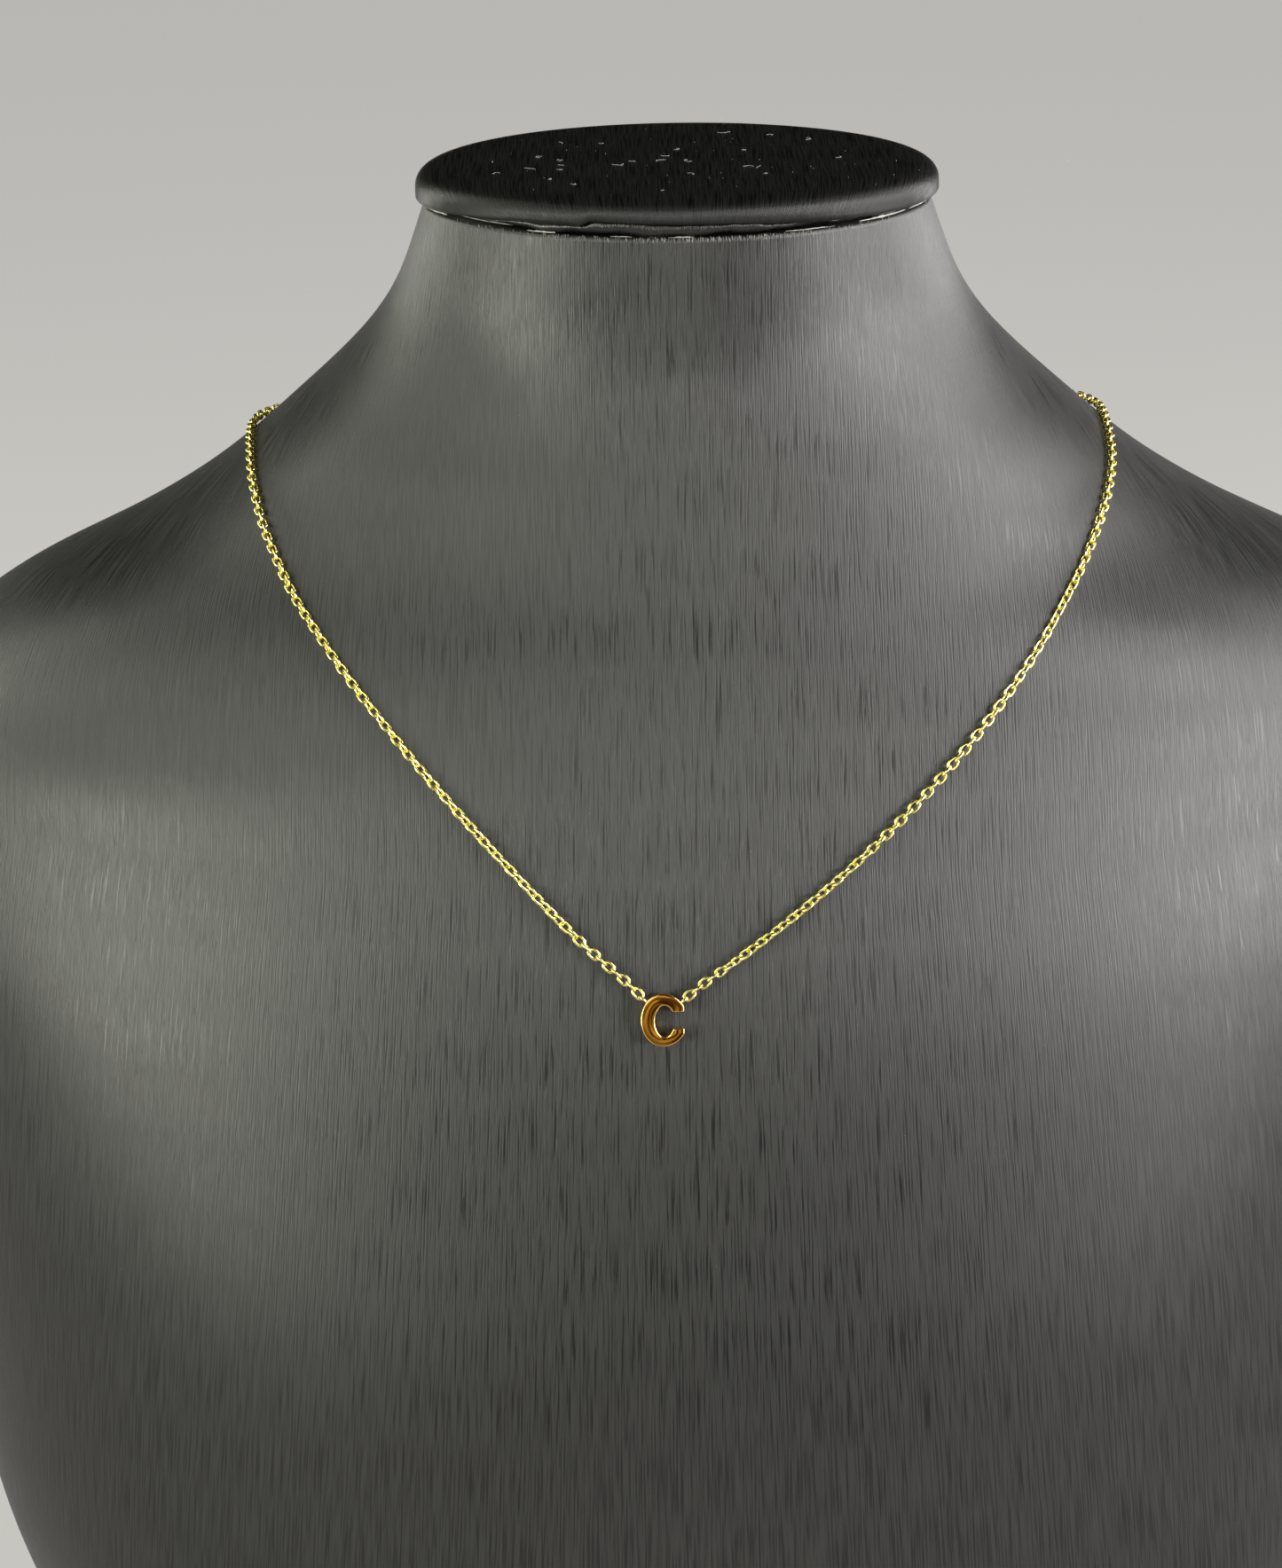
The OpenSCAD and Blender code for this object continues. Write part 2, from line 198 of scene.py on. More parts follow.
def lappedGold(values):
    # Solid gold, lapped and polished by hand: a mirror with soft waves along each stroke, and painted
    # reflection streaks of deep brown along them
    material, tree = newMaterial("lapped_gold")
    uv = addNode(tree, "ShaderNodeUVMap", {"uv_map": "wrap"})
    stretch = addNode(tree, "ShaderNodeVectorMath", {"operation": "MULTIPLY"},
                      {1: (1 / values["waveLength"], 1 / values["waveWidth"], 1)}, {0: uv.outputs[0]})
    wavesAndReflections = addNode(tree, "ShaderNodeTexNoise", {"noise_dimensions": "2D"},
                    {"Scale": 1, "Detail": 2, "Roughness": 0.5, "Distortion": 0.3},
                    {"Vector": stretch.outputs[0]})
    share = addNode(tree, "ShaderNodeMapRange", {"interpolation_type": "SMOOTHSTEP"},
                    {"From Min": 0.36, "From Max": 0.58}, {"Value": wavesAndReflections.outputs[0]})
    # painted reflection streaks along the stroke
    face = addNode(tree, "ShaderNodeMix", {"data_type": "RGBA"},
                   {6: linear(values["deep"]), 7: linear(values["bright"])}, {0: share.outputs[0]})
    # painted highlight: the rims are painted pale
    rubbedAndHighlit = addNode(tree, "ShaderNodeAttribute", {"attribute_name": "rimHighlight"})
    colour = addNode(tree, "ShaderNodeMix", {"data_type": "RGBA"}, {7: linear(values["rimHighlight"])},
                     {0: rubbedAndHighlit.outputs["Fac"], 6: face.outputs[2]})
    bump = addNode(tree, "ShaderNodeBump", {}, {"Strength": 0.6, "Distance": values["bumpDepth"]},
                   {"Height": wavesAndReflections.outputs[0]})
    shader = addNode(tree, "ShaderNodeBsdfPrincipled", {}, {"Metallic": 1, "Roughness": values["roughness"]},
                     {"Base Color": colour.outputs[2], "Normal": bump.outputs[0]})
    addNode(tree, "ShaderNodeOutputMaterial", {}, {}, {"Surface": shader.outputs[0]})
    return material


chainGoldValues = {
    "bright": "#F3E9A2",
    "deep": "#D6C766",
    "grain": 0.7 * mm,
    "roughness": 0.2,
    "duller": 0.12,          # how much rougher the rubbed spots are
}


def drawnGold(values):
    # Pale yellow gold wire, drawn, linked and tumbled bright, a little duller where links rub
    material, tree = newMaterial("drawn_gold_wire")
    place = addNode(tree, "ShaderNodeTexCoord")
    rubbedAndHighlit = addNode(tree, "ShaderNodeTexNoise", {},
                     {"Scale": 1 / values["grain"], "Detail": 2, "Roughness": 0.6},
                     {"Vector": place.outputs["Object"]})
    share = addNode(tree, "ShaderNodeMapRange", {"interpolation_type": "SMOOTHSTEP"},
                    {"From Min": 0.35, "From Max": 0.65}, {"Value": rubbedAndHighlit.outputs[0]})
    colour = addNode(tree, "ShaderNodeMix", {"data_type": "RGBA"},
                     {6: linear(values["deep"]), 7: linear(values["bright"])}, {0: share.outputs[0]})
    roughness = addNode(tree, "ShaderNodeMapRange", {},
                        {"To Min": values["roughness"] + values["duller"], "To Max": values["roughness"]},
                        {"Value": share.outputs[0]})
    shader = addNode(tree, "ShaderNodeBsdfPrincipled", {}, {"Metallic": 1},
                     {"Base Color": colour.outputs[2], "Roughness": roughness.outputs[0]})
    addNode(tree, "ShaderNodeOutputMaterial", {}, {}, {"Surface": shader.outputs[0]})
    return material


boardValues = {"dark": "#171615", "light": "#2B2927", "fibre": 1.2 * mm, "bumpDepth": 0.05 * mm}


def paintedFibreboard(values):
    # Medium density fibreboard under one coat of matt black paint: a faint felted grain shows through
    material, tree = newMaterial("painted_fibreboard")
    place = addNode(tree, "ShaderNodeTexCoord")
    felt = addNode(tree, "ShaderNodeTexNoise", {},
                   {"Scale": 1 / values["fibre"], "Detail": 4, "Roughness": 0.65},
                   {"Vector": place.outputs["Object"]})
    colour = addNode(tree, "ShaderNodeMix", {"data_type": "RGBA"},
                     {6: linear(values["dark"]), 7: linear(values["light"])}, {0: felt.outputs[0]})
    bump = addNode(tree, "ShaderNodeBump", {}, {"Strength": 0.5, "Distance": values["bumpDepth"]},
                   {"Height": felt.outputs[0]})
    shader = addNode(tree, "ShaderNodeBsdfPrincipled", {}, {"Roughness": 0.72, "IOR": 1.5},
                     {"Base Color": colour.outputs[2], "Normal": bump.outputs[0]})
    addNode(tree, "ShaderNodeOutputMaterial", {}, {}, {"Surface": shader.outputs[0]})
    return material


fibreLook = {"dark": "#6F6D68", "light": "#B4B2AB", "fibre": 0.3 * mm}


def knitFibre(values):
    # Polyester backing fibres and lint: matt white, a little translucent
    material, tree = newMaterial("polyester_fibre")
    place = addNode(tree, "ShaderNodeTexCoord")
    tone = addNode(tree, "ShaderNodeTexNoise", {}, {"Scale": 1 / values["fibre"], "Detail": 1},
                   {"Vector": place.outputs["Object"]})
    colour = addNode(tree, "ShaderNodeMix", {"data_type": "RGBA"},
                     {6: linear(values["dark"]), 7: linear(values["light"])}, {0: tone.outputs[0]})
    shader = addNode(tree, "ShaderNodeBsdfPrincipled", {}, {"Roughness": 0.8},
                     {"Base Color": colour.outputs[2]})
    addNode(tree, "ShaderNodeOutputMaterial", {}, {}, {"Surface": shader.outputs[0]})
    return material


glueValues = {"clear": "#5E5D58", "cloudyAndGlinting": "#B9B7AE", "cloudAndGlint": 0.9 * mm}


def hotMeltGlue(values):
    # Hot-melt glue squeezed out of the seam: glossy beads, cloudy in patches, and painted pale there as
    # painted highlight for their glints
    material, tree = newMaterial("hot_melt_glue")
    place = addNode(tree, "ShaderNodeTexCoord")
    cloudAndGlint = addNode(tree, "ShaderNodeTexNoise", {}, {"Scale": 1 / values["cloudAndGlint"], "Detail": 2},
                    {"Vector": place.outputs["Object"]})
    # painted highlight: the pale patches stand for the beads' glints as well as their cloudiness
    colour = addNode(tree, "ShaderNodeMix", {"data_type": "RGBA"},
                     {6: linear(values["clear"]), 7: linear(values["cloudyAndGlinting"])}, {0: cloudAndGlint.outputs[0]})
    shader = addNode(tree, "ShaderNodeBsdfPrincipled", {}, {"Roughness": 0.12, "IOR": 1.48},
                     {"Base Color": colour.outputs[2]})
    addNode(tree, "ShaderNodeOutputMaterial", {}, {}, {"Surface": shader.outputs[0]})
    return material


leather = brushedLeatherette("brushed_leatherette", leatherValues)
# the cap's copy and the fold's copy carry painted shade in their darker colours
capPaintedShadeLeather = brushedLeatherette("cap_leatherette_painted_shade", capPaintedShadeValues)
foldPaintedShadeLeather = brushedLeatherette("pressed_leatherette_painted_shade", foldPaintedShadeValues)
whiteFibre = knitFibre(fibreLook)
glue = hotMeltGlue(glueValues)
letterGold = lappedGold(letterGoldValues)
chainGold = drawnGold(chainGoldValues)
board = paintedFibreboard(boardValues)
print("materials made")


# The covered body

coverValues = {
    "ridgeY": 33 * mm,       # the shoulder ridge, where the sections have their middle
    "fanFrom": 150 * mm,     # below this height the brushed lines spread
    "fanLength": 677 * mm,   # how much lower they would lie twice as far apart
    "backFrom": 0.5,         # shares of the way round to the back over which the lines turn straight
    "backTo": 0.85,
    "halfRound": 300 * mm,   # the sheet's width from the middle of the front to the join down the back
    "smoothing": 2,
}


def turnOf(point):  # direction round the body, from the middle of the front
    return math.atan2(point.x, coverValues["ridgeY"] - point.y)


def ringWidths(ring, spread, values):
    # How far round the unrolled sheet each corner of a level ring lies from the middle of the front
    widths = {}
    middle = min(range(len(ring)), key=lambda i: abs(turnOf(ring[i].co)))
    back = max(ring, key=lambda v: abs(turnOf(v.co)))
    for side in (ring[middle:], ring[middle::-1]):
        if side[-1] is not back:  # both halves end at the join down the back
            side.append(back)
        lengths = [0]
        for a, b in zip(side, side[1:]):
            lengths.append(lengths[-1] + (b.co - a.co).length)
        for vert, length in zip(side, lengths):
            share = length / lengths[-1]
            blend = (share - values["backFrom"]) / (values["backTo"] - values["backFrom"])
            blend = min(1, max(0, blend))
            blend *= blend * (3 - 2 * blend)  # starts and ends softly
            width = length / spread * (1 - blend) + share * values["halfRound"] * blend
            widths[vert] = math.copysign(width, turnOf(vert.co))
    return widths


def wrapLines(bm, values):
    # Unrolls the leatherette: across is the way round the body from the middle of the front, and along is
    # the way up the skin, so the brushed lines fan out as on a stretched sheet and hang straight behind
    rings = {}
    for vert in bm.verts:
        rings.setdefault(round(vert.co.z / sameLevel), []).append(vert)
    across = {}
    along = {vert: 0 for vert in bm.verts}
    below = []
    for level in sorted(rings):
        ring = sorted(rings[level], key=lambda v: turnOf(v.co))
        spread = 1 + max(0, values["fanFrom"] - level * sameLevel) / values["fanLength"]
        across.update(ringWidths(ring, spread, values))
        if len(below) == len(ring):
            for low, high in zip(below, ring):
                along[high] = along[low] + (high.co - low.co).length
        below = ring
    layer = bm.loops.layers.uv.new("wrap")
    for face in bm.faces:
        side = sum(loop.vert.co.x for loop in face.loops)
        for loop in face.loops:
            u = across[loop.vert]
            if abs(u) > values["halfRound"] / 2:  # the join down the back
                u = math.copysign(u, side)
            loop[layer].uv = (u, along[loop.vert])


def coverBody():
    bm = mergedCopy("bust_body")
    crease = bm.edges.layers.float.new("crease_edge")
    top = max(v.co.z for v in bm.verts)
    for edge in bm.edges:
        if all(top - v.co.z < sameLevel for v in edge.verts):  # the cut edge under the cap stays sharp
            edge[crease] = 1
    wrapLines(bm, coverValues)
    cover = newPiece("bust_cover", bm, leather, "leatherette", "bust_body")
    smooth = cover.modifiers.new("smooth", "SUBSURF")
    smooth.levels = smooth.render_levels = coverValues["smoothing"]
    return cover


cover = coverBody()
bodyLow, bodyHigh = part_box("bust_body")
coverTree = BVHTree.FromObject(cover, bpy.context.evaluated_depsgraph_get())
print("body covered")


def onCover(turn, share):  # point of the cover in a direction round the body, at a share of its height
    turn = math.radians(turn)
    way = Vector((math.sin(turn), -math.cos(turn), 0))
    middle = Vector((0, coverValues["ridgeY"], bodyLow.z + share * (bodyHigh.z - bodyLow.z)))
    return coverTree.ray_cast(middle + way * outside, -way)[0]


def outOfCover(turn, share):  # the way straight out of the cover, from four points close around
    turnStep = 1
    shareStep = 0.004
    sideways = onCover(turn + turnStep, share) - onCover(turn - turnStep, share)
    upwards = onCover(turn, share + shareStep) - onCover(turn, share - shareStep)
    return sideways.cross(upwards).normalized()


# The letter

letterValues = {
    "height": 8.1 * mm,
    "width": 6.7 * mm,
    "thickness": 1.8 * mm,
    "stem": 2.2 * mm,
    "topStroke": 1.8 * mm,
    "bottomStroke": 1.5 * mm,
    "counterWidth": 2.92 * mm,
    "mouth": 2.55 * mm,
    "rightReach": 1.16,      # the right half's oval, as a share of the left half's
    "edgeRadius": 0.2 * mm,
    "dome": 0.07 * mm,       # how far the face is crowned across each stroke
    "backBreak": 0.1 * mm,
    "strokeLength": 22 * mm,  # along the middle of the stroke, for the lapping marks
    "endShare": 0.06,        # the stretch of the stroke's outer edge along each straight end
    "nearEnd": 0.2,          # the stretch in which that end's edge is rounded too
    "stepsAlong": 96,
    "stepsAcross": 18,
    "crowding": 0.35,        # how far the steps along crowd towards the ends: 0 spaces them evenly
    "loopDiameter": 1.8 * mm,
    "loopWire": 0.45 * mm,
    "loopSink": 0.45 * mm,
    "loopHighlight": 0.8,          # how much of the rims' painted pale highlight the loops take
    # each loop's place in degrees, its oval's reach, the way it leans in degrees, and how proud it stands
    "loops": ((135, 1, 147, 0.2 * mm), (42, 1.16, 38, 0)),
}


def letterFrame():
    # The letter's axes and the middle of its back, read from the flat of the CAD letter's face
    bm = mergedCopy("letter_c")
    face = max((f for f in bm.faces if f.normal.y < -0.5), key=lambda f: f.calc_area())
    out = face.normal.copy()
    right = Vector((0, 0, 1)).cross(out).normalized()
    up = out.cross(right)
    flat = [v.co for v in bm.verts if abs(v.co.dot(out) - face.verts[0].co.dot(out)) < sameLevel]
    across = [p.dot(right) for p in flat]
    along = [p.dot(up) for p in flat]
    faceHeight = sum(p.dot(out) for p in flat) / len(flat)
    bm.free()
    middle = right * (min(across) + max(across)) / 2 + up * (min(along) + max(along)) / 2
    middle += out * (faceHeight - letterValues["thickness"])
    return right, up, out, middle


def oval(halfWidth, halfHeight, degrees):
    turn = math.radians(degrees)
    return Vector((halfWidth * math.cos(turn), halfHeight * math.sin(turn)))


def strokeEdges(s, values):
    # Outer and inner edge of the stroke at s, from 0 at the upper end to 1 at the lower end
    halfWidth, halfHeight = values["width"] / 2, values["height"] / 2
    right = values["rightReach"] * halfWidth
    cut = math.degrees(math.acos(halfWidth / right))
    counterHeight = (values["height"] - values["topStroke"] - values["bottomStroke"]) / 2
    counterX = values["stem"] + values["counterWidth"] / 2 - halfWidth
    counterY = (values["bottomStroke"] - values["topStroke"]) / 2
    lip = values["mouth"] / 2
    upper = math.degrees(math.asin((lip - counterY) / counterHeight))
    lower = math.degrees(math.asin((-lip - counterY) / counterHeight)) + 360
    endShare = values["endShare"]
    corner = oval(right, halfHeight, cut).y
    if s < endShare:
        outer = Vector((halfWidth, lip + (corner - lip) * s / endShare))
    elif s > 1 - endShare:
        outer = Vector((halfWidth, -lip - (corner - lip) * (1 - s) / endShare))
    else:
        degrees = cut + (360 - 2 * cut) * (s - endShare) / (1 - 2 * endShare)
        onRight = math.cos(math.radians(degrees)) > 0
        outer = oval(right if onRight else halfWidth, halfHeight, degrees)
    inner = Vector((counterX, counterY)) + oval(values["counterWidth"] / 2, counterHeight,
                                                upper + (lower - upper) * s)
    return outer, inner


def letterSheet(values):
    # The letter's face: a grid bent round the stroke, crowned across it and rounded to every edge
    bm = bmesh.new()
    bmesh.ops.create_grid(bm, x_segments=values["stepsAlong"], y_segments=values["stepsAcross"], size=1)
    layer = bm.loops.layers.uv.new("wrap")
    rimHighlight = bm.verts.layers.float.new("rimHighlight")
    place = {}
    for vert in bm.verts:
        even = (vert.co.x + 1) / 2
        crowded = (1 - math.cos(math.pi * even)) / 2
        s = crowded * values["crowding"] + even * (1 - values["crowding"])
        t = (1 - math.cos(math.pi * (vert.co.y + 1) / 2)) / 2
        outer, inner = strokeEdges(s, values)
        point = outer.lerp(inner, t)
        width = (outer - inner).length
        fromEnd = 1
        if s > 1 - values["nearEnd"] or (s < values["nearEnd"] and point.x > 0):
            fromEnd = abs(point.y - math.copysign(values["mouth"] / 2, point.y))
        fromEdge = min(t * width, (1 - t) * width, fromEnd)
        radius = values["edgeRadius"]
        drop = radius - math.sqrt(radius ** 2 - (radius - min(fromEdge, radius)) ** 2)
        crown = values["dome"] * (1 - 4 * t * (1 - t))
        place[vert] = (s * values["strokeLength"], t * width)
        # painted highlight, strongest at the edges
        vert[rimHighlight] = max(0, 1 - fromEdge / radius)
        vert.co = Vector((point.x, point.y, values["thickness"] - drop - crown))
    for face in bm.faces:
        for loop in face.loops:
            loop[layer].uv = place[loop.vert]
    return bm


def ringMesh(name, diameter, wire, length=0, sides=16, wireSides=6):
    # One ring of round wire, lying flat, pulled out along X to the given length
    bm = bmesh.new()
    middle = (diameter - wire) / 2
    stand = Matrix.Translation((middle, 0, 0)) @ Matrix.Rotation(math.pi / 2, 4, "X")
    circle = bmesh.ops.create_circle(bm, segments=wireSides, radius=wire / 2, matrix=stand)["verts"]
    edges = list({edge for vert in circle for edge in vert.link_edges})
    bmesh.ops.spin(bm, geom=circle + edges, cent=(0, 0, 0), axis=(0, 0, 1), angle=2 * math.pi, steps=sides,
                   use_merge=True)
    if length:
        stretch = (length - diameter) / 2
        sideHalf = middle / 2  # the stretch to each side of the middle that is drawn out straight
        for vert in bm.verts:
            vert.co.x += stretch * max(-1, min(1, vert.co.x / sideHalf))
    bmesh.ops.recalc_face_normals(bm, faces=bm.faces)
    bm.loops.layers.uv.new("wrap")
    rimHighlight = bm.verts.layers.float.new("rimHighlight")
    for vert in bm.verts:
        vert[rimHighlight] = letterValues["loopHighlight"]
    mesh = bpy.data.meshes.new(name)
    bm.to_mesh(mesh)
    bm.free()
    return mesh


letterRight, letterUp, letterOut, letterBack = letterFrame()
letterPlace = axes(letterRight, letterUp, letterOut, letterBack)


def loopCentre(k):  # middle of one of the two soldered loops, in the letter's own flat frame
    degrees, reach, lean, proud = letterValues["loops"][k]
    foot = oval(reach * letterValues["width"] / 2, letterValues["height"] / 2, degrees)
    way = oval(1, 1, lean)
    radius = letterValues["loopDiameter"] / 2
    point = foot + way * (radius - letterValues["loopSink"] + proud)
    return Vector((point.x, point.y, radius)), math.radians(lean)


def makeLetter(values):
    bm = letterSheet(values)
    made = bmesh.ops.extrude_face_region(bm, geom=list(bm.faces), use_keep_orig=True)["geom"]
    for vert in made:
        if isinstance(vert, bmesh.types.BMVert):
            vert.co.z = 0
    bmesh.ops.recalc_face_normals(bm, faces=bm.faces)
    backRim = [edge for edge in bm.edges if len(edge.link_faces) == 2
               and all(v.co.z < samePlace for v in edge.verts)
               and any(abs(face.normal.z) < 0.5 for face in edge.link_faces)]
    bmesh.ops.bevel(bm, geom=backRim, offset=values["backBreak"], segments=2, profile=0.5, affect="EDGES",
                    material=-1)
    ring = ringMesh("loop", values["loopDiameter"], values["loopWire"], sides=32, wireSides=12)
    for k in (0, 1):
        centre, lean = loopCentre(k)
        turned = Matrix.Rotation(lean, 4, "Z") @ Matrix.Rotation(math.pi / 2, 4, "X")
        addCopy(bm, ring, Matrix.Translation(centre) @ turned)
    bmesh.ops.transform(bm, matrix=letterPlace, verts=bm.verts)
    newPiece("gold_letter", bm, letterGold, "letter_gold", "letter_c")


makeLetter(letterValues)
print("letter made")


# The chain

chainValues = {
    "linkLength": 2.4 * mm,
    "linkWidth": 1.7 * mm,
    "wire": 0.45 * mm,
    "pitch": 1.5 * mm,
    "height": 0.92 * mm,     # the links' middle over the leatherette
    "eyeDiameter": 2 * mm,
    "eyeWire": 0.5 * mm,
    "jitter": 7,             # degrees by which a link turns from its neighbours' order
    "samples": 700,          # stretches of a strand's line, about one for each third of a millimetre
    "endEase": 5 * mm,       # the stretch in which a strand's end is drawn onto its loop or eye
    # the strands' courses over the body: direction round it in degrees, and share of its height
    "leftCourse": ((-11, 0.5765), (-17.5, 0.6105), (-24, 0.6445), (-30.5, 0.6775), (-37.5, 0.71),
                   (-45.5, 0.742), (-53.5, 0.768), (-62, 0.794), (-70.5, 0.815), (-79.5, 0.828),
                   (-89.5, 0.831), (-101, 0.828), (-113, 0.8225), (-125, 0.8185), (-139, 0.8165),
                   (-154, 0.8155), (-167, 0.815)),
    "rightCourse": ((6, 0.572), (13, 0.6), (20, 0.6295), (27, 0.661), (34, 0.693), (41.5, 0.7255),
                    (48.5, 0.752), (56, 0.7755), (63.5, 0.7975), (71.5, 0.8155), (80, 0.828), (89, 0.833),
                    (100, 0.8305), (112, 0.825), (125, 0.8205), (139, 0.8175), (151, 0.816)),
    # how far the links are turned over, by link from the letter: 0 lies every second link flat
    "leftTwist": ((0, 0), (7, 0), (11, 45), (24, 45), (34, 30), (60, 25), (90, 40), (120, 20), (148, 0)),
    "rightTwist": ((0, 0), (3, 0), (6, 45), (20, 45), (26, 5), (38, 0), (50, 30), (70, 60), (100, 40),
                   (145, 90)),
}


def claspEyes():
    # The middles of the clasp's two eyes, the left strand's first, from the ends of the CAD clasp
    points = [v.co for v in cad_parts["clasp"].data.vertices]
    low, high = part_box("clasp")
    middle = (low + high) / 2
    far = max(points, key=lambda p: (p - middle).length) - middle
    way = far.normalized() * (far.length - chainValues["eyeDiameter"] / 2)
    return sorted((middle + way, middle - way), key=lambda p: p.x)


def smoothCourse(points, s):  # smooth curve that runs through every point of the course, s from 0 to 1
    i = min(int(s * (len(points) - 1)), len(points) - 2)
    t = s * (len(points) - 1) - i
    a, b, c, d = (Vector(points[max(0, min(len(points) - 1, i + k))]) for k in (-1, 0, 1, 2))
    squared = (2 * a - 5 * b + 4 * c - d) * t ** 2
    cubed = (3 * b - a - 3 * c + d) * t ** 3
    return 0.5 * (2 * b + (c - a) * t + squared + cubed)


def stopAt(point, near):  # direction and share of a point, counted on round the body from the course's end
    share = (point.z - bodyLow.z) / (bodyHigh.z - bodyLow.z)
    turn = math.degrees(turnOf(point))
    return turn + 360 * round((near[0] - turn) / 360), share


def easeEnd(rows, target, reach):  # draws the first of the rows onto a target, and its neighbours with it
    offset = target - rows[0][0]
    travelled = 0
    before = rows[0][0].copy()
    for row in rows:
        travelled += (row[0] - before).length
        before = row[0].copy()
        if travelled > reach:
            break
        row[0] += offset * (1 - travelled / reach) ** 2


def strandLine(course, start, end, values):
    # Rows along one strand: a point, and the cover's outward direction there
    stops = [stopAt(start, course[0])] + list(course) + [stopAt(end, course[-1])]
    line = []
    for i in range(values["samples"] + 1):
        turn, share = smoothCourse(stops, i / values["samples"])
        out = outOfCover(turn, share)
        line.append([onCover(turn, share) + out * values["height"], out])
    easeEnd(line, start, values["endEase"])
    easeEnd(line[::-1], end, values["endEase"])
    return line


def strandLinks(name, course, twist, start, end, values, seed):
    random.seed(seed)
    line = strandLine(course, start, end, values)
    lengths = [0]
    for (a, _), (b, _) in zip(line, line[1:]):
        lengths.append(lengths[-1] + (b - a).length)
    reach = values["linkLength"] / 2 - values["wire"] / 2  # from a link's middle to the wire at its end
    first = reach + letterValues["loopDiameter"] / 2 - letterValues["loopWire"] - values["wire"] / 2
    last = reach + values["eyeDiameter"] / 2 - values["eyeWire"] - values["wire"] / 2
    run = lengths[-1] - first - last
    count = round(run / values["pitch"]) + 1
    if (count - 1) % 2:  # the last link lies flat in its eye, as the first does in its loop
        count -= 1
    link = ringMesh("link", values["linkWidth"], values["wire"], values["linkLength"])
    bm = bmesh.new()
    bm.loops.layers.uv.new("wrap")
    row = 0
    for k in range(count):
        along = first + run * k / (count - 1)
        while lengths[row + 1] < along:
            row += 1
        t = (along - lengths[row]) / (lengths[row + 1] - lengths[row])
        here, outHere = line[row]
        there = line[row + 1][0]
        ahead = (there - here).normalized()
        out = (outHere - ahead * outHere.dot(ahead)).normalized()
        jitter = 0 if k in (0, count - 1) else random.uniform(-1, 1) * values["jitter"]
        roll = math.radians(interpolate(twist, k) + 90 * (k % 2) + jitter)  # every second link stands up
        place = axes(ahead, out.cross(ahead), out, here.lerp(there, t)) @ Matrix.Rotation(roll, 4, "X")
        addCopy(bm, link, place)
    print(f"{name}: {count} links, pitch {run / (count - 1) / mm:.3f} mm, length {lengths[-1] / mm:.1f} mm")
    return bm


loopLeft = letterPlace @ loopCentre(0)[0]
loopRight = letterPlace @ loopCentre(1)[0]
eyeLeft, eyeRight = claspEyes()
leftLinks = strandLinks("left strand", chainValues["leftCourse"], chainValues["leftTwist"],
                        loopLeft, eyeLeft, chainValues, seed=5)
newPiece("chain_links_left", leftLinks, chainGold, "chain_gold", "chain_left")
rightLinks = strandLinks("right strand", chainValues["rightCourse"], chainValues["rightTwist"],
                         loopRight, eyeRight, chainValues, seed=9)
newPiece("chain_links_right", rightLinks, chainGold, "chain_gold", "chain_right")
for node, material in (("clasp", chainGold), ("base_board", board)):  # the nodes that keep their own shape
    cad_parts[node].data.materials.clear()
    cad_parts[node].data.materials.append(material)
print("chain linked")


# The neck cap

capValues = {
    "spokes": 256,
    "rounding": 6 * mm,      # how far in the soft rounding reaches
    "roundingSteps": 14,
    "fullness": (1.2, 0.75),  # powers of its inset and its rise: 1 and 1 make a quarter round
    "topRings": (14 * mm, 22 * mm, 31 * mm),  # insets of the rings across the flat top
    "lip": 0.35 * mm,        # the radius of the cover's lower lip
    "sideHeight": 2.1 * mm,  # where the solid cap's side is upright, and its outline is read
    # how high in mm the padded cover's lip ends over the neck, by direction: it is tucked in by hand
    "lift": ((-180, 1.4), (-140, 1.1), (-100, 0.4), (-84, 0.15), (-70, 0.7), (-57, 1.3), (-44, 1.7),
             (-26, 1.7), (-24, 2.5), (-12, 2.4), (0, 2.2), (13, 2.2), (28, 1.7), (40, 1.4), (55, 1.1),
             (77, 0.7), (90, 0.6), (110, 0.9), (140, 1.2), (160, 1.6), (180, 1.4)),
    # how high in mm the dark gap under the tucked fold is
    "gap": ((-180, 0.4), (-100, 0.3), (-80, 0.2), (-64, 0.7), (-48, 0.8), (-36, 0.3), (-22, 0.7),
            (-10, 0.25), (0, 0.15), (12, 0.6), (24, 0.5), (34, 0.9), (48, 0.7), (60, 0.3), (84, 0.5),
            (110, 0.3), (180, 0.4)),
    "foldInset": 1.05 * mm,
    "foldWrinkle": 0.14 * mm,
    "foldSlope": 0.5 * mm,   # how much further in its lower edge is pushed in places
    "foldWall": 0.15 * mm,
    "beadsPerDegree": 2,
    "beadLift": 0.12 * mm,   # how much a bead's swelling lifts it
    "beadSides": 8,
    # where glue has squeezed out: from and to in degrees, then inset, height and thickness in mm
    "glue": ((-88, -67, 0.85, 0.4, 0.46), (-62, -46, 1.25, 0.75, 0.1), (-42, -34, 1.35, 0.2, 0.18),
             (-19, -13, 1.3, 0.15, 0.1), (-3, 4, 1.25, 0.1, 0.12), (29, 43, 1.35, 0.15, 0.11),
             (50, 66, 1.15, 0.3, 0.28), (67, 86, 1.0, 0.35, 0.18), (118, 131, 1.2, 0.2, 0.2),
             (-158, -149, 1.2, 0.25, 0.18)),
}


def extrudeRing(bm, edges):  # extrudes a ring of edges in place, and returns the new corners and edges
    made = bmesh.ops.extrude_edge_only(bm, edges=edges)["geom"]
    verts = [g for g in made if isinstance(g, bmesh.types.BMVert)]
    edges = [g for g in made if isinstance(g, bmesh.types.BMEdge) and all(v in verts for v in g.verts)]
    return verts, edges


